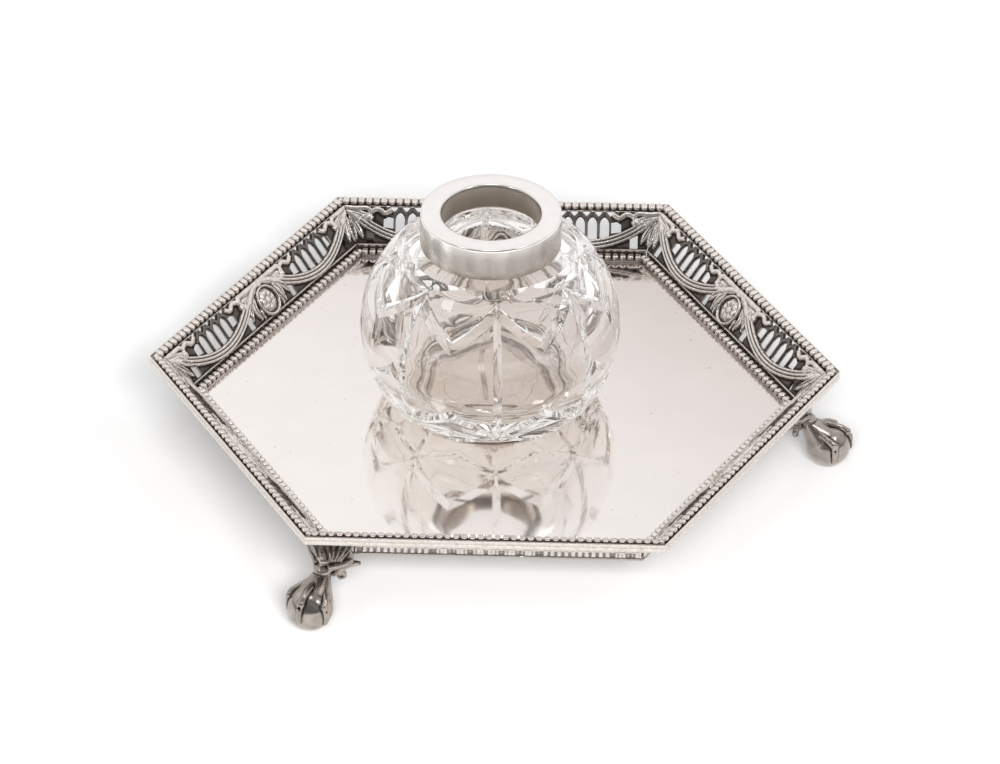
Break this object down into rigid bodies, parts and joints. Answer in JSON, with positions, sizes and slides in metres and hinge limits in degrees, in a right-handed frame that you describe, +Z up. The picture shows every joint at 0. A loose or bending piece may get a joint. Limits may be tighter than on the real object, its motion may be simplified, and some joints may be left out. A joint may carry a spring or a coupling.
{
  "type": "desk inkstand",
  "caption": "Hexagonal footed desk tray with a pierced gallery and pearl edging, carrying a loose cut-glass ink bottle with a silver collar.",
  "frame": {"origin": "middle of the stand's plan, on the table top", "axes": "+Z up, +X towards the single right foot, +Y towards the back edge"},
  "size_m": [0.2086, 0.1852, 0.0838],
  "materials": {
    "floor_silver": "mirror-polished silver",
    "gallery_silver": "cast and chased silver, oxidised in the hollows",
    "rim_silver": "polished silver",
    "upper_pearl_silver": "polished silver, oxidised between the pearls",
    "lower_pearl_silver": "polished silver, oxidised between the pearls",
    "foot_silver": "cast silver, oxidised in the hollows",
    "cut_glass": "clear cut lead crystal",
    "collar_silver": "polished silver, lightly tarnished inside",
    "plaster": "matte plaster"
  },
  "bodies": {
    "tray": {"tray_floor": "floor_silver", "gallery_panel_right_back": "gallery_silver", "gallery_panel_back": "gallery_silver", "gallery_panel_left_back": "gallery_silver", "gallery_panel_left_front": "gallery_silver", "gallery_panel_front": "gallery_silver", "gallery_panel_right_front": "gallery_silver", "rim_moulding_right_back": "rim_silver", "rim_moulding_back": "rim_silver", "rim_moulding_left_back": "rim_silver", "rim_moulding_left_front": "rim_silver", "rim_moulding_front": "rim_silver", "rim_moulding_right_front": "rim_silver", "upper_beading_right_back": "upper_pearl_silver", "upper_beading_back": "upper_pearl_silver", "upper_beading_left_back": "upper_pearl_silver", "upper_beading_left_front": "upper_pearl_silver", "upper_beading_front": "upper_pearl_silver", "upper_beading_right_front": "upper_pearl_silver", "lower_beading_right_back": "lower_pearl_silver", "lower_beading_back": "lower_pearl_silver", "lower_beading_left_back": "lower_pearl_silver", "lower_beading_left_front": "lower_pearl_silver", "lower_beading_front": "lower_pearl_silver", "lower_beading_right_front": "lower_pearl_silver", "foot_right": "foot_silver", "foot_left_back": "foot_silver", "foot_left_front": "foot_silver"},
    "bottle": {"glass_bottle": "cut_glass", "collar": "collar_silver", "plaster_ring": "plaster"}
  },
  "joints": [
    {"name": "bottle_lift", "type": "slide", "parent": "tray", "child": "bottle", "axis": [0, 0, 1], "range_m": [0, 0.08]}
  ]
}
